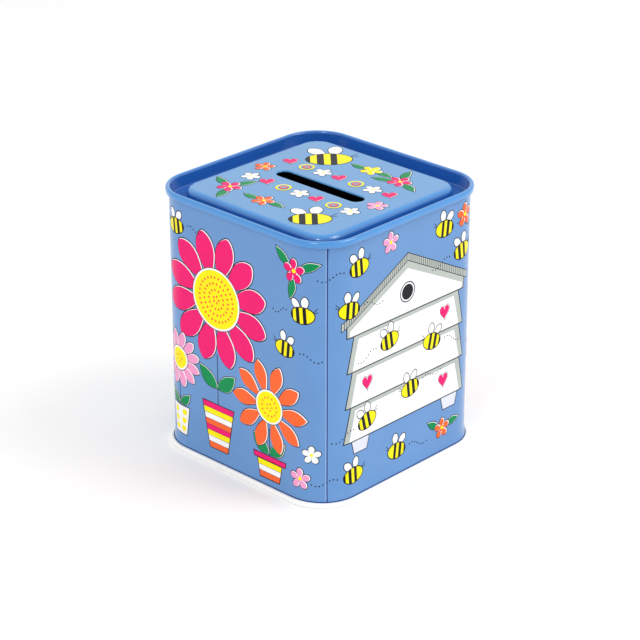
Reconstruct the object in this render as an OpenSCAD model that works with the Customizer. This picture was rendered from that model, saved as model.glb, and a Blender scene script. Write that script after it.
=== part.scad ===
// Tin money box: a rounded-square sleeve of printed tinplate, a seamed base pan and a
// countersunk lid with a coin slot. The lid lifts straight off.
// Millimetres, +Z up. The origin is at the centre of the underside.

/* [Box] */
// Width of the sleeve across its flat sides
box_w = 75; // [60:1:100]
// Height over everything, from the floor to the crown of the lid
box_h = 90; // [70:1:130]
// Outside radius of the sleeve's corners
corner_r = 13; // [10:0.5:20]
// Thickness of the sleeve's tinplate
wall_t = 0.22; // [0.2:0.02:0.3]
// How much of the sleeve's top edge is folded outwards as a hem, inside the lid's rim
hem_h = 1.3; // [0.8:0.1:1.4]
// Height of the sleeve's flare above the base seam
flare_h = 2.9; // [1:0.1:5]
// How far the flare leans out
flare_out = 0.45; // [0:0.05:0.6]

/* [Side seam] */
// Direction of the seam around its corner, from the +X side
seam_angle = -40; // [-80:1:-10]
// Width of the groove left on the outside
groove_w = 0.35; // [0.2:0.05:0.8]
// Depth of that groove
groove_d = 0.12; // [0.05:0.01:0.14]
// Width of the folded layers behind the seam
lap_w = 5; // [3:0.5:8]
// Thickness of the folded layers behind the seam
lap_t = 0.6; // [0.3:0.1:0.9]

/* [Lid] */
// Thickness of the lid and base sheet
sheet_t = 0.22; // [0.2:0.02:0.26]
// How far the rolled rim stands out from the sleeve
rim_out = 1.1; // [1:0.1:2]
// Height of the rolled rim
rim_h = 2.1; // [2:0.1:5]
// Radius over the rim's top edges
rim_r = 0.8; // [0.5:0.05:0.9]
// Depth of the channel inside the rim, below the crown
channel_depth = 4.5; // [3:0.1:6]
// Width of the channel from the plug wall to the panel's foot
channel_w = 5; // [3:0.5:8]
// How far the panel lies below the crown
panel_drop = 1; // [0:0.1:1.5]
// Radius over the panel's shoulder
shoulder_r = 2.1; // [1:0.1:3]

/* [Coin slot] */
// Length of the clear opening
slot_l = 36.4; // [28:0.2:45]
// Width of the clear opening
slot_w = 5.2; // [3:0.2:7]
// Radius over the slot's turned-down edge
lip_r = 0.45; // [0.35:0.05:1.5]
// Depth of the turned-down edge, below the panel
lip_depth = 0.5; // [0.4:0.1:3]

/* [Base] */
// How far the base seam stands out from the sleeve
ring_out = 1.5; // [1:0.1:2.5]
// Height of the base seam
ring_h = 1.7; // [1.5:0.1:3]
// Height of the pan's underside above the floor
pan_rise = 2.4; // [2:0.1:5]

/* [Hidden] */
$fn = 72;

half = box_w / 2;
// Distance of every corner's centre from the box's middle planes
core = half - corner_r;

// Clearances: the lid in and over the sleeve, the flare in the base seam, and the base
fit_gap = 0.12;
side_gap = 0.2;
seam_gap = 0.1;
hook_gap = 0.06;

// Levels and distances of the lid. The x values are distances from a middle plane.
crown_z = box_h;
panel_z = box_h - panel_drop;
floor_z = box_h - channel_depth;
foot_r = 0.5;
plug_r = 0.4;
rim_x = half + rim_out;
plug_x = half - wall_t - fit_gap - sheet_t;
foot_x = plug_x - channel_w;
shoulder_bend = min(shoulder_r, channel_depth - panel_drop - foot_r);
shoulder_x = foot_x - shoulder_bend;
top_r = min(rim_r, (rim_x - plug_x) / 2);
curl_r = (rim_out - wall_t - fit_gap) / 2;
curl_z = crown_z - rim_h + curl_r;
curl_leg = 0.4;

// Levels of the sleeve
hem_z = crown_z - sheet_t - 2 * fit_gap;
flare_z = ring_h - seam_gap;
lap_bottom = pan_rise + 3;
lap_top = floor_z - 0.8;
groove_bottom = flare_z + flare_h;
groove_top = hem_z - hem_h;

// Distances and radii of the base
chuck_x = half - wall_t - seam_gap;
ring_x = half + ring_out;
fold_r = 0.5;
ring_top_r = 0.45;
return_x = half + flare_out + side_gap;
hook_z = sheet_t + hook_gap;
hook_x = ring_x - sheet_t - side_gap;

BLUE = [0.45, 0.60, 0.83];
DEEP_BLUE = [0.25, 0.50, 0.78];
WHITE = [0.95, 0.95, 0.95];

// One quarter of a sheet bend: r is the inner radius, sx and sz pick the quarter
module bend(x, z, r, t, sx, sz) {
    translate([x, z]) intersection() {
        difference() {
            circle(r + t);
            circle(r);
        }
        translate([sx > 0 ? 0 : -(r + t), sz > 0 ? 0 : -(r + t)]) square(r + t);
    }
}

// A straight run of sheet between two corners of its section
module run(x0, z0, x1, z1) {
    if (x1 > x0 && z1 > z0) translate([x0, z0]) square([x1 - x0, z1 - z0]);
}

// Sweeps a section around the rounded square. The section's x is the distance from
// the middle plane, and its y is the height.
module around() {
    for (a = [0 : 90 : 270]) rotate(a) {
        rotate([90, 0, 0]) linear_extrude(height = 2 * core, center = true) children();
        translate([core, core, 0]) rotate_extrude(angle = 90) translate([-core, 0]) children();
    }
}

// A flat rounded square that fills the middle of a swept section
module plate(x, z, t) {
    r = x - core;
    translate([0, 0, z]) linear_extrude(t) {
        square([2 * x, 2 * core], center = true);
        square([2 * core, 2 * x], center = true);
        for (sx = [-1, 1], sy = [-1, 1]) translate([sx * core, sy * core]) circle(r);
    }
}

// ---- sleeve ----

module sleeve_section() {
    // wall, with its top edge folded outwards
    run(half - wall_t, flare_z + flare_h, half, hem_z - wall_t);
    run(half, hem_z - hem_h, half + wall_t, hem_z - wall_t);
    translate([half, hem_z - wall_t]) intersection() {
        circle(wall_t);
        translate([-wall_t, 0]) square([2 * wall_t, wall_t]);
    }
    // flare, and the hook held inside the base seam
    polygon([
        [half - wall_t, flare_z + flare_h],
        [half - wall_t + flare_out, flare_z],
        [half - wall_t + flare_out, hook_z],
        [hook_x, hook_z],
        [hook_x, hook_z + wall_t],
        [half + flare_out, hook_z + wall_t],
        [half + flare_out, flare_z],
        [half, flare_z + flare_h]
    ]);
}

module seam_lap() {
    lap_angle = lap_w / corner_r * 180 / PI;
    translate([core, -core, 0]) rotate(seam_angle - lap_angle / 2)
        rotate_extrude(angle = lap_angle)
            run(corner_r - wall_t - lap_t, lap_bottom, corner_r - wall_t / 2, lap_top);
}

module body() {
    color(BLUE) {
        difference() {
            around() sleeve_section();
            translate([core, -core, groove_bottom]) rotate(seam_angle)
                translate([corner_r - groove_d, -groove_w / 2, 0])
                    cube([2 * groove_d, groove_w, groove_top - groove_bottom]);
        }
        seam_lap();
    }
}

// ---- base ----

module base_section() {
    pan_top = pan_rise + sheet_t;
    inner_r = fold_r - sheet_t;
    // pan edge and the wall that drops from it
    run(core, pan_rise, chuck_x - fold_r, pan_top);
    bend(chuck_x - fold_r, pan_top - fold_r, inner_r, sheet_t, 1, 1);
    run(chuck_x - sheet_t, fold_r, chuck_x, pan_top - fold_r);
    // the seam: under, up the outside and back over the hook
    bend(chuck_x - sheet_t + fold_r, fold_r, inner_r, sheet_t, -1, -1);
    run(chuck_x - sheet_t + fold_r, 0, ring_x - fold_r, sheet_t);
    bend(ring_x - fold_r, fold_r, inner_r, sheet_t, 1, -1);
    run(ring_x - sheet_t, fold_r, ring_x, ring_h - ring_top_r);
    bend(ring_x - ring_top_r, ring_h - ring_top_r, ring_top_r - sheet_t, sheet_t, 1, 1);
    run(return_x, ring_h - sheet_t, ring_x - ring_top_r, ring_h);
}

module base() {
    color(WHITE) {
        around() base_section();
        translate([0, 0, pan_rise]) linear_extrude(sheet_t) square(2 * core, center = true);
    }
}

// ---- lid ----

module lid_section() {
    curl_x = rim_x - curl_r;
    // panel edge, shoulder and foot
    run(shoulder_x - 1, panel_z - sheet_t, shoulder_x, panel_z);
    bend(shoulder_x, panel_z - shoulder_bend, shoulder_bend - sheet_t, sheet_t, 1, 1);
    run(foot_x - sheet_t, floor_z + foot_r, foot_x, panel_z - shoulder_bend);
    bend(foot_x + foot_r, floor_z + foot_r, foot_r, sheet_t, -1, -1);
    // channel floor and plug wall
    run(foot_x + foot_r, floor_z - sheet_t, plug_x - plug_r, floor_z);
    bend(plug_x - plug_r, floor_z + plug_r, plug_r, sheet_t, 1, -1);
    run(plug_x, floor_z + plug_r, plug_x + sheet_t, crown_z - top_r);
    // crown and skirt
    bend(plug_x + top_r, crown_z - top_r, top_r - sheet_t, sheet_t, -1, 1);
    run(plug_x + top_r, crown_z - sheet_t, rim_x - top_r, crown_z);
    bend(rim_x - top_r, crown_z - top_r, top_r - sheet_t, sheet_t, 1, 1);
    run(rim_x - sheet_t, curl_z, rim_x, crown_z - top_r);
    // curled edge
    bend(curl_x, curl_z, curl_r - sheet_t, sheet_t, 1, -1);
    bend(curl_x, curl_z, curl_r - sheet_t, sheet_t, -1, -1);
    run(curl_x - curl_r, curl_z, curl_x - curl_r + sheet_t, curl_z + curl_leg);
}

module slot_outline(grow) {
    straight = slot_l - slot_w;
    square([straight, slot_w + 2 * grow], center = true);
    for (s = [-1, 1]) translate([s * straight / 2, 0]) circle(slot_w / 2 + grow);
}

// Section of the turned-down edge, measured from the slot's middle line
module lip_section() {
    bend(slot_w / 2 + lip_r, panel_z - lip_r, lip_r - sheet_t, sheet_t, -1, 1);
    run(slot_w / 2, panel_z - lip_depth, slot_w / 2 + sheet_t, panel_z - lip_r);
}

module slot_lip() {
    straight = slot_l - slot_w;
    for (s = [0, 1]) mirror([0, s, 0])
        rotate([90, 0, 90]) linear_extrude(height = straight, center = true) lip_section();
    for (a = [0, 180]) rotate(a)
        translate([straight / 2, 0, 0]) rotate(-90) rotate_extrude(angle = 180) lip_section();
}

module lid() {
    color(DEEP_BLUE) {
        around() lid_section();
        difference() {
            plate(shoulder_x - 0.5, panel_z - sheet_t, sheet_t);
            translate([0, 0, panel_z - 2 * sheet_t]) linear_extrude(3 * sheet_t) slot_outline(lip_r);
        }
        slot_lip();
    }
}

body();
base();
lid();
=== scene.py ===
"""Looks for the tin money box. The three pressed pieces keep their CAD shapes and get tinplate
materials. The printed pictures are thin ink films, one piece for each ink on each surface."""

import math

import bpy
import numpy as np
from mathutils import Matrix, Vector
from mathutils.geometry import delaunay_2d_cdt


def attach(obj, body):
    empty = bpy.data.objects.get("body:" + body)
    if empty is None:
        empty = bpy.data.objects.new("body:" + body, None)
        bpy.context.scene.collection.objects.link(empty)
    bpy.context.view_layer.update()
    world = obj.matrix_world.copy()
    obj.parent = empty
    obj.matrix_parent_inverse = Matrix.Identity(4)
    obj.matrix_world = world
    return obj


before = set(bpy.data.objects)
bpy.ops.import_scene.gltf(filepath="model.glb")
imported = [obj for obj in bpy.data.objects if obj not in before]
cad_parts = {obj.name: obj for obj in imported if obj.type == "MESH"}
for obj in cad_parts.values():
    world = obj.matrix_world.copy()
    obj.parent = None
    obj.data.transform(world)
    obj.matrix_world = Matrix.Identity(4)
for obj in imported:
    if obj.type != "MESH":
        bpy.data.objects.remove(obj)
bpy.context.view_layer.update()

MM = 0.001

# ---- the box, in millimetres ----
HALF = 37.5
CORNER_R = 13.0
CORE = HALF - CORNER_R
ARC = CORNER_R * math.pi / 2
PITCH = 2 * CORE + ARC
FACE_HALF = PITCH / 2
WALL_T = 0.22
HEM_BOTTOM = 88.24
FLARE_TOP = 4.5
FLARE_BOTTOM = 1.6
FLARE_OUT = 0.45
SEAM_ANGLE = -40
SEAM_U = CORE + CORNER_R * math.radians(90 + SEAM_ANGLE)
PANEL_Z = 89.0
SLOT_STRAIGHT = 15.6
SLOT_EDGE = 3.15
GROOVE_D = 0.12
GROOVE_HALF = 0.165
CHANNEL_MIDDLE = 34.44
CROWN_MIDDLE = 37.77
CURL_Z = 88.28
PAN_MIDDLE = 2.51

# ---- ink films, in millimetres above the painted tin ----
FILM_TOP = 0.035
FILM_BOTTOM = -0.03
MERGE = 0.002
ARC_STEPS = 18

# ---- colours, sRGB ----
INKS = {
    "outline": (22, 22, 28),
    "white": (247, 248, 250),
    "magenta": (240, 16, 112),
    "yellow": (255, 238, 0),
    "orange": (252, 104, 48),
    "green": (0, 142, 80),
    "pink": (242, 158, 202),
    "grey": (184, 190, 184),
    "pale": (224, 226, 240),
    # Dark navy for painted shade in the side seam's groove and a painted shadow line above the base
    # seam
    "seam": (38, 62, 132),
    # Pale blue for a painted highlight along the seam's folded edge
    "seam_edge": (176, 202, 238),
}
SLEEVE_BLUE = (93, 142, 199)
PANEL_BLUE = (72, 144, 202)
RIM_BLUE = (58, 138, 208)
# The lid's deeper print blue, darkened further as painted shade for the channel recess
CHANNEL_SHADED_BLUE = (34, 96, 176)
# The lid's blues outside the panel, with where each one fades in, in mm from the middle planes. The
# channel's darker blue is the lid's deeper print blue with painted shade of the recess.
LID_ZONES = ((28.8, 30.6, RIM_BLUE), (31.0, 32.0, CHANNEL_SHADED_BLUE), (37.1, 37.5, RIM_BLUE))
LACQUER_WHITE = (252, 252, 251)
BARE_TIN = (176, 172, 162)
FLOOR_WHITE = (254, 254, 254)

# ---- varnish: how much clear coat lies on each printed piece ----
SLEEVE_COAT = 0.2
LID_COAT = 0.8

# ---- the pictures, in millimetres ----
OUTLINE = 0.26
FINE_OUTLINE = 0.16
STRIPE_LINE = 0.13
SEAM_GAP = 0.5
LIFT_STEP = 12.0
LIFT_LAP = 1.2
ROW_STEP = 7.2
ROW_Y = 9.0


# ======================================================================
# Camera, floor and light
# ======================================================================

CAMERA_AZIMUTH = 43.69
CAMERA_ELEVATION = 24.6
CAMERA_DISTANCE = 0.7447
CAMERA_TARGET = Vector((0.0, 0.0, 0.045))
CAMERA_LENS = 129.64
CAMERA_SHIFT = (0.00019, -0.0115)
WORLD_STRENGTH = 0.86
FRONT_LIGHT_WATTS = 1.9
BACK_LIGHT_WATTS = 2.3
BACK_LIGHT_TARGET = (0.1, 0.1, 0.0)
FLOOR_HALF = 4.0


def direction(azimuth, elevation):
    """Unit vector towards an azimuth, from -Y turning to +X, and an elevation, in degrees."""
    a = math.radians(azimuth)
    e = math.radians(elevation)
    return Vector((math.sin(a) * math.cos(e), -math.cos(a) * math.cos(e), math.sin(e)))


def aim(obj, spot, target):
    obj.location = spot
    obj.rotation_euler = (Vector(target) - Vector(spot)).to_track_quat("-Z", "Y").to_euler()


def add_camera():
    data = bpy.data.cameras.new("camera")
    data.lens = CAMERA_LENS
    data.sensor_width = 36
    data.shift_x = CAMERA_SHIFT[0]
    data.shift_y = CAMERA_SHIFT[1]
    data.clip_start = 0.05
    data.clip_end = 20
    camera = bpy.data.objects.new("camera", data)
    bpy.context.scene.collection.objects.link(camera)
    spot = CAMERA_TARGET + CAMERA_DISTANCE * direction(CAMERA_AZIMUTH, CAMERA_ELEVATION)
    aim(camera, spot, CAMERA_TARGET)
    bpy.context.scene.camera = camera


def add_area(name, azimuth, elevation, distance, size, watts, target=(0, 0, 0.05)):
    data = bpy.data.lights.new(name, "AREA")
    data.shape = "RECTANGLE"
    data.size = size[0]
    data.size_y = size[1]
    data.energy = watts
    lamp = bpy.data.objects.new(name, data)
    bpy.context.scene.collection.objects.link(lamp)
    aim(lamp, Vector(target) + distance * direction(azimuth, elevation), target)


def add_world(strength):
    world = bpy.data.worlds.new("studio")
    world.use_nodes = True
    background = world.node_tree.nodes["Background"]
    background.inputs["Color"].default_value = (1.0, 1.0, 1.0, 1.0)
    background.inputs["Strength"].default_value = strength
    bpy.context.scene.world = world


def add_floor(material):
    mesh = bpy.data.meshes.new("floor")
    corners = [(x * FLOOR_HALF, y * FLOOR_HALF, 0) for x, y in ((-1, -1), (1, -1), (1, 1), (-1, 1))]
    mesh.from_pydata(corners, [], [(0, 1, 2, 3)])
    mesh.materials.append(material)
    floor = bpy.data.objects.new("floor", mesh)
    bpy.context.scene.collection.objects.link(floor)


# ======================================================================
# Materials
# ======================================================================


def linear(colour):
    """An sRGB colour from 0 to 255 as linear RGBA."""
    out = []
    for c in colour:
        s = c / 255
        out.append(s / 12.92 if s <= 0.04045 else ((s + 0.055) / 1.055) ** 2.4)
    return (*out, 1.0)


def scaled(rgba, factor):
    return (*[min(1.0, c * factor) for c in rgba[:3]], 1.0)


class Shader:
    """A material's node tree, with short ways to add to it."""

    def __init__(self, name):
        self.material = bpy.data.materials.new(name)
        self.material.use_nodes = True
        self.nodes = self.material.node_tree.nodes
        self.links = self.material.node_tree.links
        self.base = self.nodes["Principled BSDF"]
        self.place = self.nodes.new("ShaderNodeTexCoord")

    def join(self, source, target):
        if isinstance(source, (int, float)):
            target.default_value = source
        else:
            self.links.new(source, target)

    def sum(self, operation, a, b):
        """The result of a Math node."""
        node = self.nodes.new("ShaderNodeMath")
        node.operation = operation
        self.join(a, node.inputs[0])
        self.join(b, node.inputs[1])
        return node.outputs[0]

    def vector(self, operation, a, b=None):
        """The result of a Vector Math node."""
        node = self.nodes.new("ShaderNodeVectorMath")
        node.operation = operation
        self.links.new(a, node.inputs[0])
        if isinstance(b, tuple):
            node.inputs[1].default_value = b
        elif b is not None:
            self.links.new(b, node.inputs[1])
        return node.outputs["Value" if operation in ("LENGTH", "DOT_PRODUCT") else "Vector"]

    def noise(self, scale, detail):
        node = self.nodes.new("ShaderNodeTexNoise")
        node.inputs["Scale"].default_value = scale
        node.inputs["Detail"].default_value = detail
        node.inputs["Roughness"].default_value = 0.55
        self.links.new(self.place.outputs["Object"], node.inputs["Vector"])
        return node.outputs["Fac"]

    def spread(self, source, low, high, from_low=0.3, from_high=0.7):
        """A number stretched to run from low to high. The middle of a noise's range is the default."""
        node = self.nodes.new("ShaderNodeMapRange")
        node.inputs["From Min"].default_value = from_low
        node.inputs["From Max"].default_value = from_high
        node.inputs["To Min"].default_value = low
        node.inputs["To Max"].default_value = high
        self.links.new(source, node.inputs["Value"])
        return node.outputs["Result"]

    def mix(self, factor, a, b):
        node = self.nodes.new("ShaderNodeMix")
        node.data_type = "RGBA"
        self.join(factor, node.inputs["Factor"])
        for value, socket in ((a, node.inputs[6]), (b, node.inputs[7])):
            if isinstance(value, tuple):
                socket.default_value = value
            else:
                self.links.new(value, socket)
        return node.outputs[2]

    def blend(self, factor, a, b):
        """A number that goes from a to b."""
        node = self.nodes.new("ShaderNodeMix")
        node.data_type = "FLOAT"
        self.join(factor, node.inputs["Factor"])
        self.join(a, node.inputs[2])
        self.join(b, node.inputs[3])
        return node.outputs[0]

    def bump(self, height, distance):
        node = self.nodes.new("ShaderNodeBump")
        node.inputs["Strength"].default_value = 1.0
        node.inputs["Distance"].default_value = distance
        self.links.new(height, node.inputs["Height"])
        self.links.new(node.outputs["Normal"], self.base.inputs["Normal"])


def section_distance(shader):
    """Distance from the corners' centre lines, and the outward direction, as node outputs."""
    place = shader.vector("MULTIPLY", shader.place.outputs["Object"], (1.0, 1.0, 0.0))
    sides = shader.vector("ABSOLUTE", place)
    past = shader.vector("SUBTRACT", sides, (CORE * MM, CORE * MM, 0.0))
    past = shader.vector("MAXIMUM", past, (0.0, 0.0, 0.0))
    outward = shader.vector("NORMALIZE", shader.vector("MULTIPLY", past, shader.vector("SIGN", place)))
    return shader.vector("LENGTH", past), outward


def height_of(shader):
    split = shader.nodes.new("ShaderNodeSeparateXYZ")
    shader.links.new(shader.place.outputs["Object"], split.inputs[0])
    return split.outputs["Z"]


def toned(shader, factor, colour):
    """A colour, or a colour output, made a little lighter or darker."""
    if isinstance(colour, tuple):
        return scaled(colour, factor)
    return shader.vector("MULTIPLY", colour, (factor, factor, factor))


def bare_tin(shader):
    """The faintly mottled colour of plain tinplate."""
    mottle = shader.spread(shader.noise(900.0, 4.0), 0.0, 1.0)
    return shader.mix(mottle, scaled(linear(BARE_TIN), 0.86), scaled(linear(BARE_TIN), 1.08))


def varnished(shader, paint, bare, coat):
    """Printed and varnished tinplate where bare is 0, and plain tin where it is 1. coat is the
    amount of clear varnish."""
    cloud = shader.spread(shader.noise(45.0, 2.0), 0.0, 1.0)
    speck = shader.spread(shader.noise(2600.0, 2.0), 0.0, 1.0)
    wash = shader.mix(cloud, toned(shader, 0.955, paint), toned(shader, 1.045, paint))
    wash = shader.mix(shader.sum("MULTIPLY", speck, 0.06), wash, toned(shader, 1.25, paint))
    shader.links.new(shader.mix(bare, wash, bare_tin(shader)), shader.base.inputs["Base Color"])
    gloss = shader.spread(shader.noise(160.0, 4.0), 0.17, 0.25)
    satin = shader.spread(shader.noise(500.0, 4.0), 0.32, 0.46)
    shader.links.new(shader.blend(bare, gloss, satin), shader.base.inputs["Roughness"])
    shader.join(bare, shader.base.inputs["Metallic"])
    shader.base.inputs["IOR"].default_value = 1.45
    shader.base.inputs["Coat Weight"].default_value = coat
    shader.base.inputs["Coat Roughness"].default_value = 0.06
    waves = shader.sum("MULTIPLY", shader.noise(70.0, 1.0), 6.0)
    shader.bump(shader.sum("ADD", shader.noise(1500.0, 2.0), waves), 0.000012)


def sleeve_material():
    """The sleeve is printed outside, and is bare tin inside and on its turned-over top edge."""
    shader = Shader("printed_sleeve")
    distance, _ = section_distance(shader)
    height = height_of(shader)
    flare = shader.spread(height, FLARE_OUT * MM, 0.0, FLARE_BOTTOM * MM, FLARE_TOP * MM)
    upright_distance = shader.sum("SUBTRACT", distance, flare)
    within = shader.sum("LESS_THAN", upright_distance, (CORNER_R - (WALL_T + GROOVE_D) / 2) * MM)
    hem = shader.sum("GREATER_THAN", height, (HEM_BOTTOM - 0.02) * MM)
    varnished(shader, linear(SLEEVE_BLUE), shader.sum("MAXIMUM", within, hem), SLEEVE_COAT)
    return shader.material


def lid_material():
    """The lid is printed on the face that shows, which turns over along its section, and is
    bare tin on the other face."""
    shader = Shader("printed_lid")
    distance, outward = section_distance(shader)
    normal = shader.place.outputs["Normal"]
    lean = shader.vector("DOT_PRODUCT", normal, outward)
    split = shader.nodes.new("ShaderNodeSeparateXYZ")
    shader.links.new(normal, split.inputs[0])
    in_trough = shader.sum(
        "MULTIPLY",
        shader.sum("GREATER_THAN", distance, (CHANNEL_MIDDLE - CORE) * MM),
        shader.sum("LESS_THAN", distance, (CROWN_MIDDLE - CORE) * MM),
    )
    side = shader.blend(in_trough, 1.0, -1.0)
    facing = shader.sum("ADD", split.outputs["Z"], shader.sum("MULTIPLY", lean, side))
    under = shader.sum("LESS_THAN", facing, -0.1)
    curl = shader.sum(
        "MULTIPLY",
        shader.sum("GREATER_THAN", distance, (CROWN_MIDDLE - CORE) * MM),
        shader.sum("LESS_THAN", height_of(shader), CURL_Z * MM),
    )
    paint = linear(PANEL_BLUE)
    # Panel blue fades to the rim blue, then to a darker blue that is painted shade in the channel, then
    # back to the rim blue
    for start, end, blue in LID_ZONES:
        past = shader.spread(distance, 0.0, 1.0, (start - CORE) * MM, (end - CORE) * MM)
        paint = shader.mix(past, paint, linear(blue))
    bare = shader.sum("MULTIPLY", under, shader.sum("SUBTRACT", 1.0, curl))
    varnished(shader, paint, bare, LID_COAT)
    return shader.material


def base_material():
    """White lacquer outside, and bare tin on the pan's inner face."""
    shader = Shader("white_base")
    white = linear(LACQUER_WHITE)
    cloud = shader.spread(shader.noise(60.0, 3.0), 0.0, 1.0)
    lacquer = shader.mix(cloud, scaled(white, 0.965), white)
    inner = shader.sum("GREATER_THAN", height_of(shader), PAN_MIDDLE * MM)
    shader.links.new(shader.mix(inner, lacquer, bare_tin(shader)), shader.base.inputs["Base Color"])
    gloss = shader.spread(shader.noise(220.0, 4.0), 0.2, 0.3)
    satin = shader.spread(shader.noise(500.0, 4.0), 0.32, 0.46)
    shader.links.new(shader.blend(inner, gloss, satin), shader.base.inputs["Roughness"])
    shader.join(inner, shader.base.inputs["Metallic"])
    shader.base.inputs["Coat Weight"].default_value = 0.3
    shader.base.inputs["Coat Roughness"].default_value = 0.08
    shader.bump(shader.noise(1200.0, 2.0), 0.00001)
    return shader.material


def ink_material(name, colour):
    """A flat printing ink under varnish, a little uneven in tone and gloss."""
    shader = Shader("ink_" + name)
    ink = linear(colour)
    cloud = shader.spread(shader.noise(180.0, 3.0), 0.0, 1.0)
    grain = shader.spread(shader.noise(3200.0, 1.0), 0.0, 1.0)
    tone = shader.mix(cloud, scaled(ink, 0.95), scaled(ink, 1.03))
    tone = shader.mix(shader.sum("MULTIPLY", grain, 0.05), tone, scaled(ink, 0.8))
    shader.links.new(tone, shader.base.inputs["Base Color"])
    gloss = shader.spread(shader.noise(300.0, 3.0), 0.18, 0.27)
    shader.links.new(gloss, shader.base.inputs["Roughness"])
    shader.base.inputs["IOR"].default_value = 1.4
    shader.base.inputs["Specular IOR Level"].default_value = 0.2
    return shader.material


def floor_material():
    shader = Shader("pale_floor")
    white = linear(FLOOR_WHITE)
    tone = shader.mix(shader.spread(shader.noise(3.0, 2.0), 0.0, 1.0), scaled(white, 0.985), white)
    shader.links.new(tone, shader.base.inputs["Base Color"])
    shader.base.inputs["Roughness"].default_value = 0.85
    return shader.material


# ======================================================================
# Drawing: flat shapes in millimetres, laid down in painter's order
# ======================================================================


def ellipse(x, y, rx, ry, turn=0.0, n=26):
    local = [(rx * math.cos(2 * math.pi * i / n), ry * math.sin(2 * math.pi * i / n)) for i in range(n)]
    return place(local, x, y, turn)


def place(points, x, y, turn=0.0):
    """Turns points by an angle in degrees, then moves them."""
    c = math.cos(math.radians(turn))
    s = math.sin(math.radians(turn))
    return [(x + px * c - py * s, y + px * s + py * c) for px, py in points]


def area(points):
    total = 0.0
    for (x0, y0), (x1, y1) in zip(points, points[1:] + points[:1]):
        total += x0 * y1 - x1 * y0
    return total / 2


def grow(points, amount):
    """Moves every edge of an outline outwards, or inwards if amount is negative."""
    if area(points) < 0:
        points = points[::-1]
    out = []
    count = len(points)
    for i in range(count):
        before = Vector(points[i - 1])
        here = Vector(points[i])
        after = Vector(points[(i + 1) % count])
        a = (here - before).normalized()
        b = (after - here).normalized()
        middle = Vector((a.y + b.y, -a.x - b.x))
        if middle.length < 1e-6:
            middle = Vector((a.y, -a.x))
        middle.normalize()
        reach = amount / max(0.45, middle.dot(Vector((a.y, -a.x))))
        out.append(tuple(here + middle * reach))
    return out


def shifted(points, dx, dy):
    return [(x + dx, y + dy) for x, y in points]


def petal_shape(length, width, blunt, fullest, n=12):
    """A petal along +x. A smaller blunt gives a rounder tip, and a larger fullest puts the widest
    place nearer to it."""
    upper = []
    for i in range(n + 1):
        t = (1 - math.cos(math.pi * i / n)) / 2
        upper.append((t * length, width / 2 * math.sin(math.pi * min(1, t**fullest)) ** blunt))
    return upper[:-1] + [(length, 0.0)] + [(x, -y) for x, y in upper[1:-1][::-1]]


def leaf_shape(length, width, bend, n=11):
    """A leaf along +x, pointed at both ends. bend bows it to one side."""
    upper = []
    lower = []
    for i in range(n + 1):
        t = i / n
        middle = bend * math.sin(math.pi * t)
        half = width / 2 * math.sin(math.pi * t**0.9) ** 0.9
        upper.append((t * length, middle + half))
        lower.append((t * length, middle - half))
    return [upper[0]] + lower[1:-1] + [upper[-1]] + upper[1:-1][::-1]


def heart_shape(width, height, n=26):
    """A heart with its point down."""
    points = []
    for i in range(n):
        t = 2 * math.pi * i / n
        x = math.sin(t) ** 3
        y = (13 * math.cos(t) - 5 * math.cos(2 * t) - 2 * math.cos(3 * t) - math.cos(4 * t)) / 17
        points.append((x * width / 2, (y + 0.15) * height / 1.75))
    return points


def curve(points, step):
    """A smooth open line through the points, in short steps."""
    ends = [points[0]] + list(points) + [points[-1]]
    out = []
    for i in range(1, len(ends) - 2):
        p0, p1, p2, p3 = (Vector(p) for p in ends[i - 1 : i + 3])
        parts = max(1, round((p2 - p1).length / step))
        for k in range(parts):
            t = k / parts
            spot = (
                2 * p1
                + (p2 - p0) * t
                + (2 * p0 - 5 * p1 + 4 * p2 - p3) * t * t
                + (3 * p1 - 3 * p2 + p3 - p0) * t * t * t
            ) / 2
            out.append(tuple(spot))
    return out + [tuple(points[-1])]


class Print:
    """Artwork on one surface. A later shape covers an earlier one, and an ink of None cuts."""

    def __init__(self):
        self.motifs = []
        self.count = 0

    def start(self):
        self.motifs.append([])

    def add(self, ink, points):
        if area(points) < 0:
            points = points[::-1]
        self.motifs[-1].append((self.count, ink, points))
        self.count += 1

    def line(self, ink, points, width):
        """A stroke with round ends, built from short straight pieces."""
        half = width / 2
        for (x0, y0), (x1, y1) in zip(points, points[1:]):
            along = Vector((x1 - x0, y1 - y0))
            if along.length < 1e-4:
                continue
            side = Vector((-along.y, along.x)).normalized() * half
            self.add(
                ink,
                [
                    (x0 - side.x, y0 - side.y),
                    (x1 - side.x, y1 - side.y),
                    (x1 + side.x, y1 + side.y),
                    (x0 + side.x, y0 + side.y),
                ],
            )
        for x, y in points:
            self.add(ink, ellipse(x, y, half, half, 0, 8))

    def inked(self, ink, outlines, line, slip):
        """Shapes with a dark outline, and an ink that sits a little off its white ground."""
        for points in outlines:
            self.add("outline", grow(points, line))
        for points in outlines:
            self.add("white", points)
        for points in outlines:
            self.add(ink, shifted(grow(points, -0.1), *slip))

    def dots(self, points, gap=1.2, radius=0.26):
        """A dotted line along a smooth curve."""
        path = curve(points, 0.2)
        walked = 0.0
        last = Vector(path[0])
        for spot in path:
            here = Vector(spot)
            walked += (here - last).length
            last = here
            if walked >= gap:
                walked = 0.0
                self.start()
                self.add("outline", ellipse(here.x, here.y, radius, radius, 0, 7))


# ---- motifs ----


def daisy(art, x, y, eye, reach, petals, ink, width, blunt, line=0.34):
    """A daisy seen from the front, with even petals round a yellow eye."""
    art.start()
    start = 0.7 * eye
    shape = petal_shape(reach - start, width, blunt, 1.45)
    for i in range(petals):
        turn = 90 + 360 / petals * (i + 0.5)
        root = place([(start, 0)], x, y, turn)[0]
        art.inked(ink, [place(shape, root[0], root[1], turn)], line, (-0.32, -0.2))
    for layer, extra in (("outline", 0.85), ("white", 0.62), ("yellow", 0.0)):
        art.add(layer, ellipse(x, y, eye + extra, eye + extra, 0, 44))
    seeds(art, x, y, eye)


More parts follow.
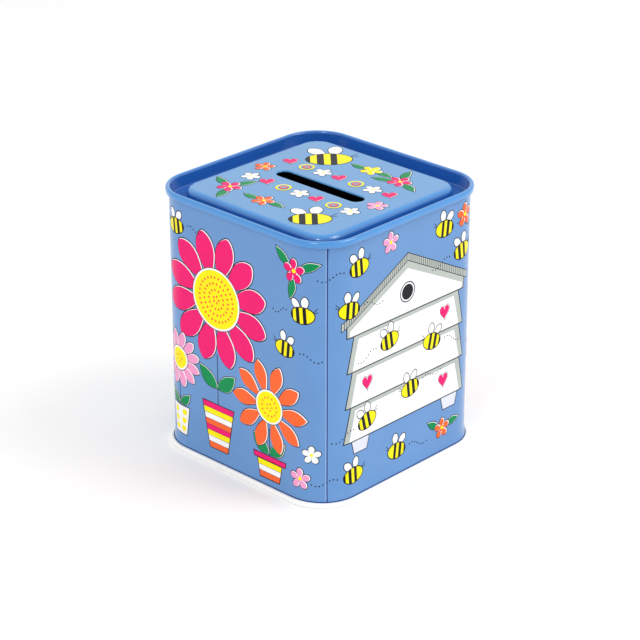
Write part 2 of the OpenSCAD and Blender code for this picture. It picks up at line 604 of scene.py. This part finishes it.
def seeds(art, x, y, eye):
    """Rings of small orange seeds in a flower's eye."""
    rings = max(1, int(eye / 2.2))
    size = 0.3 + 0.02 * eye
    for k in range(rings):
        reach = 0.93 * eye * (k + 0.55) / (rings + 0.35)
        number = max(5, round(2 * math.pi * reach / 1.6))
        for i in range(number):
            turn = 360 / number * (i + 0.5 * (k % 2))
            spot = place([(reach, 0)], x, y, turn)[0]
            art.add("orange", ellipse(spot[0], spot[1], size, size * 0.8, turn, 8))


def blossom(art, x, y, radius, ink, turn=90):
    """A small flower with five round lobes."""
    art.start()
    shapes = [ellipse(x, y, radius * 0.34, radius * 0.34, 0, 12)]
    for i in range(5):
        spot = place([(radius * 0.61, 0)], x, y, turn + 72 * i)[0]
        shapes.append(ellipse(spot[0], spot[1], radius * 0.37, radius * 0.31, turn + 72 * i, 18))
    art.inked(ink, shapes, OUTLINE, (-0.2, -0.14))
    art.add("yellow", ellipse(x, y, radius * 0.19, radius * 0.17, 0, 12))


def leaf(art, base, tip, width, bend):
    """A leaf from its base to its tip."""
    art.start()
    along = Vector(tip) - Vector(base)
    turn = math.degrees(math.atan2(along.y, along.x))
    shape = place(leaf_shape(along.length, width, bend), base[0], base[1], turn)
    art.inked("green", [shape], 0.24, (-0.1, -0.08))


def sprig(art, x, y, radius, ink, ways):
    """A small flower on leaves that point the ways given, in degrees."""
    for way in ways:
        base, tip = place([(radius * 0.5, 0), (radius * 2.3, 0)], x, y, way)
        leaf(art, base, tip, radius * 0.7, radius * 0.06)
    blossom(art, x, y, radius, ink)


def heart(art, x, y, width, height, turn=0.0):
    art.start()
    shape = place(heart_shape(width, height), x, y, turn)
    art.inked("magenta", [shape], FINE_OUTLINE, (-0.1, -0.05))


def stalk(art, x, top, low, leaf_low, leaf_reach):
    """A straight stem with a leaf on each side."""
    art.start()
    art.line("outline", [(x, top), (x, low)], 0.26)
    for side in (-1, 1):
        tip = (x + side * leaf_reach, leaf_low + 0.8 * leaf_reach)
        leaf(art, (x, leaf_low), tip, leaf_reach * 0.62, -side * 0.5)


def band_shape(a, b, x0, x1, n=6):
    """A slice of an ellipse between two places along its length."""
    top = []
    bottom = []
    for i in range(n + 1):
        x = x0 + (x1 - x0) * i / n
        y = b * math.sqrt(max(0.0, 1 - (x / a) ** 2))
        top.append((x, y))
        bottom.append((x, -y))
    return bottom + top[::-1]


def bee(art, x, y, length, turn, flip=1):
    """A bee in flight, with two wings, three bands and feelers. flip -1 faces it left."""
    art.start()
    a = length / 2
    b = length * 0.33

    def put(points):
        return place([(px * flip, py) for px, py in points], x, y, turn)

    for rise in (0.5, 0.95):
        art.line("outline", put([(a * 0.8, b * 0.3), (a * 1.28, b * rise)]), 0.22)
    for angle, off in ((128, -0.12), (82, 0.2)):
        wing = place(petal_shape(a * 1.15, a * 0.62, 0.62, 1.5, 10), a * off, b * 0.6, angle)
        art.add("outline", put(grow(wing, 0.28)))
        art.add("white", put(wing))
    art.add("outline", put(ellipse(0, 0, a + 0.32, b + 0.32, 0, 30)))
    art.add("yellow", put(ellipse(0, 0, a, b, 0, 30)))
    for x0, x1 in ((-1.0, -0.8), (-0.52, -0.22), (0.06, 0.34)):
        art.add("outline", put(band_shape(a + 0.2, b + 0.2, (a + 0.2) * x0, (a + 0.2) * x1)))


def flying_bee(art, x, y, length, turn, flip, trail):
    """A bee with a dotted trail, as long as trail says, that waves out behind it."""
    start = length / 2 + 1.2
    tail = [(-flip * (start + trail * k / 6), math.sin(math.pi * k / 3)) for k in range(7)]
    art.dots(place(tail, x, y, turn))
    bee(art, x, y, length, turn, flip)


def tapered(x, low, high, half_low, half_high):
    """A shape that is as wide on both sides of x, and narrows or widens with height."""
    return [(x - half_low, low), (x + half_low, low), (x + half_high, high), (x - half_high, high)]


def striped_pot(art, x, low, top, half_low, half_top, inks, rim=0.0):
    """A tapered pot with even stripes, named from the top, and a rim of the height given."""
    art.start()
    art.add("outline", grow(tapered(x, low, top, half_low, half_top), 0.3))
    for k, ink in enumerate(inks):
        high_share = 1 - k / len(inks)
        low_share = 1 - (k + 1) / len(inks)
        stripe = tapered(
            x,
            low + (top - low) * low_share,
            low + (top - low) * high_share,
            half_low + (half_top - half_low) * low_share,
            half_low + (half_top - half_low) * high_share,
        )
        art.add(ink, stripe)
        if k > 0:
            art.line("outline", [stripe[3], stripe[2]], STRIPE_LINE)
    if rim > 0:
        lip = tapered(x, top - rim, top, half_top + 1.2, half_top + 1.4)
        art.add("outline", grow(lip, 0.28))
        art.add("magenta", lip)


def spotted_pot(art, x, low, top, half_low, half_top):
    """A white pot with two columns of yellow spots."""
    art.start()
    shape = tapered(x, low, top, half_low, half_top)
    art.add("outline", grow(shape, 0.28))
    art.add("white", shape)
    for k in range(3):
        for side in (-1, 1):
            spot_z = low + (top - low) * (0.2 + 0.3 * k)
            art.add("yellow", ellipse(x + side * half_low * (0.52 + 0.1 * k), spot_z, 1.1, 1.1, 0, 16))


def lift(art, x, low, high, half_low, half_high):
    """One white lift of the hive, with grey wash at its sides and under the lift above."""
    art.start()
    art.add("outline", grow(tapered(x, low, high, half_low, half_high), 0.34))
    art.add("grey", tapered(x, low, high, half_low, half_high))
    art.add("white", tapered(x, low + 0.15, high - 2.8, half_low - 2.0, half_high - 1.6))


def roof_board(art, start, end, depth, strokes):
    """A sloping board below the line from start to end, with even strokes across it."""
    a = Vector(start)
    b = Vector(end)
    down = Vector((0, -depth))
    board = [tuple(a), tuple(b), tuple(b + down), tuple(a + down)]
    art.add("outline", grow(board, 0.24))
    art.add("grey", board)
    for i in range(1, strokes):
        top = a.lerp(b, i / strokes)
        art.line("outline", [tuple(top), tuple(top + down)], 0.24)


def hive(art, x):
    """A garden hive: two feet, three flared lifts and a pitched roof with a round hole."""
    for side in (-1, 1):
        art.start()
        foot = tapered(x + side * 21, 16.5, 22, 2.8, 4.2)
        art.add("outline", grow(foot, 0.3))
        art.add("pale", foot)
    for k in range(3):
        low = 21 + LIFT_STEP * k
        lift(art, x, low, low + LIFT_STEP + LIFT_LAP, 28 - 0.6 * k, 25 - 0.6 * k)
    art.start()
    gable = [(x - 27, 57), (x + 27, 57), (x + 27, 61), (x, 75), (x - 27, 61)]
    art.add("outline", grow(gable, 0.34))
    art.add("grey", gable)
    art.add("white", [(x - 26, 57.2), (x + 26, 57.2), (x + 26, 59), (x, 72), (x - 26, 59)])
    for side in (-1, 1):
        roof_board(art, (x + side * 29, 62), (x, 77), 2.3, 32)
    for ink, radius in (("outline", 3.5), ("white", 3.1), ("outline", 2.6)):
        art.add(ink, ellipse(x, 64, radius, radius, 0, 30))


# ---- layouts, in millimetres from a face's middle and from the floor ----

STRIPES = ("magenta", "yellow", "white", "orange")


def flower_side(art):
    """Three flowers in pots, small flowers and bees."""
    stalk(art, -9, 40, 21, 28, 8)
    striped_pot(art, -9, 6, 22, 4, 7, 2 * STRIPES)
    daisy(art, -9, 59, 9.8, 22.8, 12, "magenta", 8, 0.62)

    stalk(art, 14, 22, 11, 13, 7)
    striped_pot(art, 14, 4, 12, 4.2, 5.6, STRIPES, 1.6)
    daisy(art, 14, 29.5, 5.2, 15.8, 10, "orange", 5.2, 0.8, 0.28)

    stalk(art, -27, 26, 15, 17, 5)
    spotted_pot(art, -27, 6, 16, 3, 4.4)
    daisy(art, -27, 33, 3.6, 10, 12, "pink", 3.4, 0.65, 0.26)

    sprig(art, 25, 79, 4.2, "magenta", (20, 140, 260))
    blossom(art, 27, 9, 3.8, "pink")
    blossom(art, 31, 18, 3.2, "white")
    flying_bee(art, 28, 65, 8, 4, 1, 7)
    flying_bee(art, 21, 52, 7.6, -6, -1, 9)
    flying_bee(art, -27, 79, 7.6, 6, -1, 7)


def hive_side(art, x):
    """The hive, with bees and small flowers round it."""
    hive(art, x)
    for k in range(3):
        heart(art, x + 18 * (-1) ** k, 27 + LIFT_STEP * k, 4.6, 5.2)
    for dx, z, turn, flip in (
        (-22, 79, 6, 1), (17, 80, -6, -1), (26, 70, 8, 1), (-26, 66, -4, -1),
        (-8, 50, 10, 1), (12, 43, -12, -1), (2, 30, 8, -1), (-18, 26, 14, 1),
        (-24, 9, 4, 1), (-4, 10, -6, -1),
    ):
        flying_bee(art, x + dx, z, 8, turn, flip, 10)
    sprig(art, x + 18, 10, 3.6, "orange", (10, 150))
    blossom(art, x - 8, 83, 3.6, "pink")
    blossom(art, x + 27, 82, 4, "orange")


def wall_print():
    """The sleeve's artwork: the same two pictures twice, on opposite faces."""
    art = Print()
    for turn in (0, 2):
        own = Print()
        flower_side(own)
        hive_side(own, PITCH)
        for motif in own.motifs:
            art.start()
            for _, ink, points in motif:
                art.add(ink, shifted(points, turn * PITCH, 0.0))
    art.start()
    art.add(None, upright(SEAM_U, SEAM_GAP, 0, 90))
    return art


def upright(u, width, low, high):
    """An upright strip with its middle at u."""
    return [(u - width / 2, low), (u + width / 2, low), (u + width / 2, high), (u - width / 2, high)]


def seam_painted_light():
    """Painted shade along the side seam's groove, a painted highlight along the seam's folded edge, and
    a painted shadow line above the base seam.
    """
    art = Print()
    art.start()
    # Painted shade along the floor of the side seam's groove, above the flare and on it
    art.add("seam", upright(SEAM_U, 2 * GROOVE_HALF, FLARE_TOP + 0.02, HEM_BOTTOM - 0.1))
    art.start()
    art.add("seam", upright(SEAM_U, 2 * GROOVE_HALF, 2.0, FLARE_TOP - 0.02))
    art.start()
    # A painted highlight strip along the seam's folded edge
    art.add("seam_edge", upright(SEAM_U - 0.36, 0.16, 2.4, HEM_BOTTOM - 0.5))
    art.start()
    # A painted shadow line all round the sleeve, just above the base seam
    art.add("seam", upright(1.5 * PITCH - 0.01, 4 * PITCH - 0.02, 1.72, 1.98))
    return art


def ring(art, x, y, radius, width, ink):
    """A thin ring with a dark shadow edge."""
    art.start()
    art.add("outline", ellipse(x + 0.1, y - 0.1, radius + 0.08, radius + 0.08, 0, 34))
    art.add(ink, ellipse(x, y, radius, radius, 0, 34))
    art.add(None, ellipse(x, y, radius - width, radius - width, 0, 30))


def row_motif(art, kind, x, y):
    """One of the three small motifs that take turns beside the coin slot."""
    if kind == 0:
        blossom(art, x, y, 3.2, "white")
    elif kind == 1:
        heart(art, x, y, 5, 5, 45)
    else:
        ring(art, x, y, 2.6, 0.6, "yellow")
        ring(art, x, y, 1.3, 0.5, "orange")


def lid_print():
    """The panel's artwork: a row of small motifs along each side of the coin slot, flowers at
    its ends, and bees and flowers outside the rows."""
    art = Print()
    for side in (-1, 1):
        for i in range(7):
            row_motif(art, (i + (side > 0)) % 3, ROW_STEP * (i - 3), side * ROW_Y)
        blossom(art, side * 24.5, 0, 3.6, "pink" if side > 0 else "orange", 45)
    bee(art, -14, 19, 15, 45)
    bee(art, 17, -22, 13, 45)
    sprig(art, 16, 20, 4.2, "magenta", (-20, 110, 200))
    sprig(art, -20, -20, 4.2, "magenta", (70, 160, 290))
    sprig(art, -4, -21, 3.8, "orange", (0, 180))
    sprig(art, 3, 21, 3.8, "yellow", (0, 180))
    art.start()
    for side in (-1, 1):
        art.add(None, ellipse(side * SLOT_STRAIGHT, 0, SLOT_EDGE, SLOT_EDGE, 0, 32))
    art.add(
        None,
        [
            (-SLOT_STRAIGHT, -SLOT_EDGE),
            (SLOT_STRAIGHT, -SLOT_EDGE),
            (SLOT_STRAIGHT, SLOT_EDGE),
            (-SLOT_STRAIGHT, SLOT_EDGE),
        ],
    )
    return art


# ======================================================================
# From flat shapes to ink films
# ======================================================================


def boxes_meet(a, b):
    return a[0] <= b[2] and b[0] <= a[2] and a[1] <= b[3] and b[1] <= a[3]


def box_round(motif):
    xs = [x for _, _, points in motif for x, _ in points]
    ys = [y for _, _, points in motif for _, y in points]
    return (min(xs), min(ys), max(xs), max(ys))


def clusters(art):
    """Motifs that may overlap, gathered so that each gathering can be cut up on its own."""
    gathered = []
    for motif in art.motifs:
        if not motif:
            continue
        shapes = list(motif)
        box = box_round(motif)
        apart = []
        for other_box, other in gathered:
            if boxes_meet(box, other_box):
                shapes += other
                box = (
                    min(box[0], other_box[0]),
                    min(box[1], other_box[1]),
                    max(box[2], other_box[2]),
                    max(box[3], other_box[3]),
                )
            else:
                apart.append((other_box, other))
        gathered = apart + [(box, shapes)]
    return [(box, sorted(shapes, key=lambda s: s[0])) for box, shapes in gathered]


def covers(outline, spots):
    """Which of the spots lie inside an outline."""
    x = spots[:, 0]
    y = spots[:, 1]
    inside = np.zeros(len(spots), bool)
    for (x0, y0), (x1, y1) in zip(outline, outline[1:] + outline[:1]):
        if y0 != y1:
            crosses = (y0 > y) != (y1 > y)
            inside ^= crosses & (x < x0 + (x1 - x0) * (y - y0) / (y1 - y0))
    return inside


def cut_up(shapes, box, across, along):
    """Triangles of a gathering, each with the ink of the last shape that covers it. across
    and along are the places of fold lines where the surface bends."""
    points = []
    faces = []
    edges = []
    for _, _, outline in shapes:
        start = len(points)
        points += [Vector(p) for p in outline]
        faces.append(list(range(start, len(points))))
    for x in across:
        if box[0] < x < box[2]:
            edges.append((len(points), len(points) + 1))
            points += [Vector((x, box[1] - 1)), Vector((x, box[3] + 1))]
    for y in along:
        if box[1] < y < box[3]:
            edges.append((len(points), len(points) + 1))
            points += [Vector((box[0] - 1, y)), Vector((box[2] + 1, y))]
    spots, _, triangles, _, _, _ = delaunay_2d_cdt(points, edges, faces, 0, MERGE)
    corners = np.array(spots)
    middles = corners[np.array(triangles)].mean(axis=1)
    owner = np.full(len(triangles), -1)
    for k, (_, _, outline) in enumerate(shapes):
        low = np.min(outline, axis=0)
        high = np.max(outline, axis=0)
        near = np.flatnonzero(np.all((middles >= low) & (middles <= high), axis=1))
        owner[near[covers(outline, middles[near])]] = k
    out = {}
    for triangle, k in zip(triangles, owner):
        if k >= 0 and shapes[k][1] is not None:
            out.setdefault(shapes[k][1], []).append(tuple(triangle))
    return spots, out


class Film:
    """The mesh of one ink: a thin closed layer over every place that has that ink."""

    def __init__(self):
        self.points = []
        self.faces = []
        self.normals = []

    def add(self, spots, triangles, surface):
        index = {}
        for k in {k for triangle in triangles for k in triangle}:
            point, normal = surface(spots[k][0], spots[k][1])
            index[k] = (len(self.points), normal)
            self.points.append(point + normal * (FILM_TOP * MM))
            self.points.append(point + normal * (FILM_BOTTOM * MM))
        rim = {}
        for triangle in triangles:
            top = [index[k][0] for k in triangle]
            bend = [index[k][1] for k in triangle]
            self.faces.append(top)
            self.normals += bend
            self.faces.append([t + 1 for t in reversed(top)])
            self.normals += [-n for n in reversed(bend)]
            for a, b in zip(triangle, triangle[1:] + triangle[:1]):
                if (b, a) in rim:
                    del rim[(b, a)]
                else:
                    rim[(a, b)] = True
        for a, b in rim:
            first = index[a][0]
            second = index[b][0]
            self.faces.append([first, first + 1, second + 1, second])
            run = self.points[second] - self.points[first]
            out = run.cross(index[a][1]).normalized()
            self.normals += [out] * 4

    def build(self, name, material, body, slot):
        mesh = bpy.data.meshes.new(name)
        mesh.from_pydata(self.points, [], self.faces)
        mesh.materials.append(material)
        mesh.polygons.foreach_set("use_smooth", [True] * len(mesh.polygons))
        mesh.normals_split_custom_set(self.normals)
        piece = bpy.data.objects.new(name, mesh)
        bpy.context.scene.collection.objects.link(piece)
        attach(piece, body)
        return piece


def wall_surface(u, z):
    """The point and outward direction at a distance round the sleeve and a height, from mm."""
    quarter = math.floor((u + FACE_HALF) / PITCH)
    v = u - quarter * PITCH
    side = 1 if v > 0 else -1
    turn = max(0.0, abs(v) - CORE) / CORNER_R * side
    flare = FLARE_OUT * min(1.0, max(0.0, (FLARE_TOP - z) / (FLARE_TOP - FLARE_BOTTOM)))
    reach = CORNER_R + flare
    x = max(-CORE, min(CORE, v)) + reach * math.sin(turn)
    y = -CORE - reach * math.cos(turn)
    a = quarter * math.pi / 2
    c = round(math.cos(a))
    s = round(math.sin(a))
    nx = math.sin(turn)
    ny = -math.cos(turn)
    point = Vector(((x * c - y * s) * MM, (x * s + y * c) * MM, z * MM))
    lean = 0.0 if z > FLARE_TOP - 0.01 else FLARE_OUT / (FLARE_TOP - FLARE_BOTTOM)
    return point, Vector((nx * c - ny * s, nx * s + ny * c, lean)).normalized()


def seam_surface(u, z):
    """Like the wall, but on the floor of the seam's groove."""
    point, normal = wall_surface(u, z)
    in_groove = abs(u - SEAM_U) < GROOVE_HALF + 0.01 and z > FLARE_TOP
    return point - normal * (GROOVE_D * MM if in_groove else 0.0), normal


def panel_surface(x, y):
    return Vector((x * MM, y * MM, PANEL_Z * MM)), Vector((0.0, 0.0, 1.0))


def corner_folds():
    """The places round the sleeve where a film bends to follow its corners."""
    folds = []
    for quarter in range(-1, 4):
        start = quarter * PITCH + CORE
        folds += [start + ARC * k / ARC_STEPS for k in range(ARC_STEPS + 1)]
    return folds


def lay_films(art, surface, across, along, prefix, body, slot, inks):
    """Makes one piece for each ink of the artwork, named after the prefix and the ink."""
    films = {}
    for box, shapes in clusters(art):
        spots, found = cut_up(shapes, box, across, along)
        for ink, triangles in found.items():
            films.setdefault(ink, Film()).add(spots, triangles, surface)
    for ink in sorted(films):
        films[ink].build(prefix + ink, inks[ink], body, slot)


# ======================================================================
# Putting it together
# ======================================================================


def finish_node(name, material):
    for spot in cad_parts[name].material_slots:
        spot.material = material


bpy.context.scene.view_settings.view_transform = "Standard"
add_camera()
add_floor(floor_material())
add_world(WORLD_STRENGTH)
add_area("front_softbox", 20, 46, 1.1, (0.22, 0.22), FRONT_LIGHT_WATTS)
add_area("back_softbox", 120, 60, 0.8, (0.4, 0.4), BACK_LIGHT_WATTS, BACK_LIGHT_TARGET)

finish_node("body", sleeve_material())
finish_node("lid", lid_material())
finish_node("base", base_material())
ink_materials = {name: ink_material(name, colour) for name, colour in INKS.items()}
folds = corner_folds()
lay_films(wall_print(), wall_surface, folds, [FLARE_TOP], "print_", "box", "printed_tin", ink_materials)
# The seam films are painted shade, painted shadow and a painted highlight
lay_films(seam_painted_light(), seam_surface, folds, [FLARE_TOP], "edge_", "box", "printed_tin", ink_materials)
lay_films(lid_print(), panel_surface, [], [], "lid_print_", "cover", "lid_tin", ink_materials)
